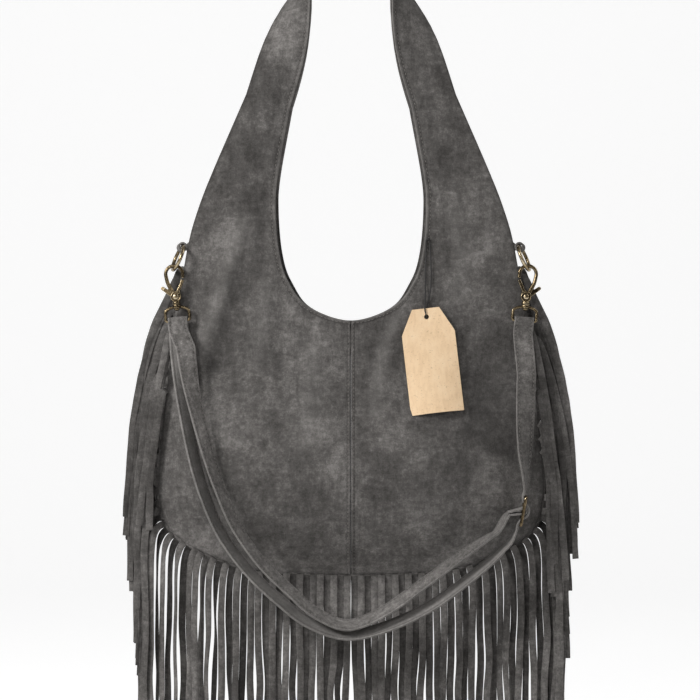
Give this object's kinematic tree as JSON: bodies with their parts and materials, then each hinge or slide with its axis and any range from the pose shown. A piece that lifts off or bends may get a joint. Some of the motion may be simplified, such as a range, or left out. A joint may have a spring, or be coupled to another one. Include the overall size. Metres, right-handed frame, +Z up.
{
  "type": "fringed suede shoulder bag",
  "caption": "Slouchy suede shoulder bag with a wide arched shoulder strap, long fringe along its sides and bottom, a clipped crossbody strap with a slider, and a card hang tag.",
  "frame": {"origin": "underside of the shoulder strap at the top of its arch, where the bag hangs", "axes": "+Z up, +X to the right as the front is seen, -Y to the front"},
  "size_m": [0.4258, 0.0831, 0.854],
  "materials": {
    "suede": "napped grey-brown suede",
    "suede_dark": "napped dark suede",
    "brass": "antiqued brass",
    "card": "matt kraft card",
    "string": "thin black cord"
  },
  "bodies": {
    "bag": {"front_left_panel": "suede", "front_right_panel": "suede", "back_left_panel": "suede", "back_right_panel": "suede", "fringe_right_side": "suede", "fringe_right_corner": "suede", "fringe_bottom": "suede", "fringe_left_corner": "suede", "fringe_left_side": "suede", "front_facing": "suede_dark", "back_facing": "suede_dark", "snap_socket": "brass", "snap_stud": "brass"},
    "strap": {"crossbody_strap": "suede", "slider": "brass", "d_loop_left": "brass", "d_loop_right": "brass", "ring_tab_left": "suede_dark", "ring_tab_right": "suede_dark"},
    "ring_left": {"ring_left": "brass"},
    "clasp_left": {"hook_left": "brass", "rivet_left": "brass"},
    "gate_left": {"gate_left": "brass"},
    "ring_right": {"ring_right": "brass"},
    "clasp_right": {"hook_right": "brass", "rivet_right": "brass"},
    "gate_right": {"gate_right": "brass"},
    "tag": {"hang_tag": "card", "tag_string": "string"}
  },
  "joints": [
    {"name": "strap_swing", "type": "hinge", "parent": "bag", "child": "strap", "pos_m": [0, 0, -0.3096], "axis": [-1, 0, 0], "range_deg": [0, 175]},
    {"name": "ring_spin_left", "type": "hinge", "parent": "strap", "child": "ring_left", "pos_m": [-0.16002, -0.00344, -0.32018], "axis": [-0.8867, -0.2543, 0.3861], "continuous": true},
    {"name": "clasp_swivel_left", "type": "hinge", "parent": "strap", "child": "clasp_left", "pos_m": [-0.16143, -0.00953, -0.35603], "axis": [-0.0864, 0.1036, 0.9909], "range_deg": [-18, 18]},
    {"name": "gate_press_left", "type": "hinge", "parent": "clasp_left", "child": "gate_left", "pos_m": [-0.16143, -0.00953, -0.35603], "axis": [-0.009, -0.9946, 0.1032], "range_deg": [0, 20], "stiffness_Nm_per_rad": 0.01, "springref_deg": -17.19},
    {"name": "ring_spin_right", "type": "hinge", "parent": "strap", "child": "ring_right", "pos_m": [0.16002, -0.00344, -0.32018], "axis": [0.8867, -0.2543, 0.3861], "continuous": true},
    {"name": "clasp_swivel_right", "type": "hinge", "parent": "strap", "child": "clasp_right", "pos_m": [0.16143, -0.00953, -0.35603], "axis": [0.0864, 0.1036, 0.9909], "range_deg": [-18, 18]},
    {"name": "gate_press_right", "type": "hinge", "parent": "clasp_right", "child": "gate_right", "pos_m": [0.16143, -0.00953, -0.35603], "axis": [-0.009, 0.9946, -0.1032], "range_deg": [0, 20], "stiffness_Nm_per_rad": 0.01, "springref_deg": -17.19},
    {"name": "tag_swing", "type": "hinge", "parent": "bag", "child": "tag", "pos_m": [0.0709, -0.0112, -0.3035], "axis": [-0.0157, -0.9904, 0.1374], "range_deg": [-10, 10]}
  ]
}
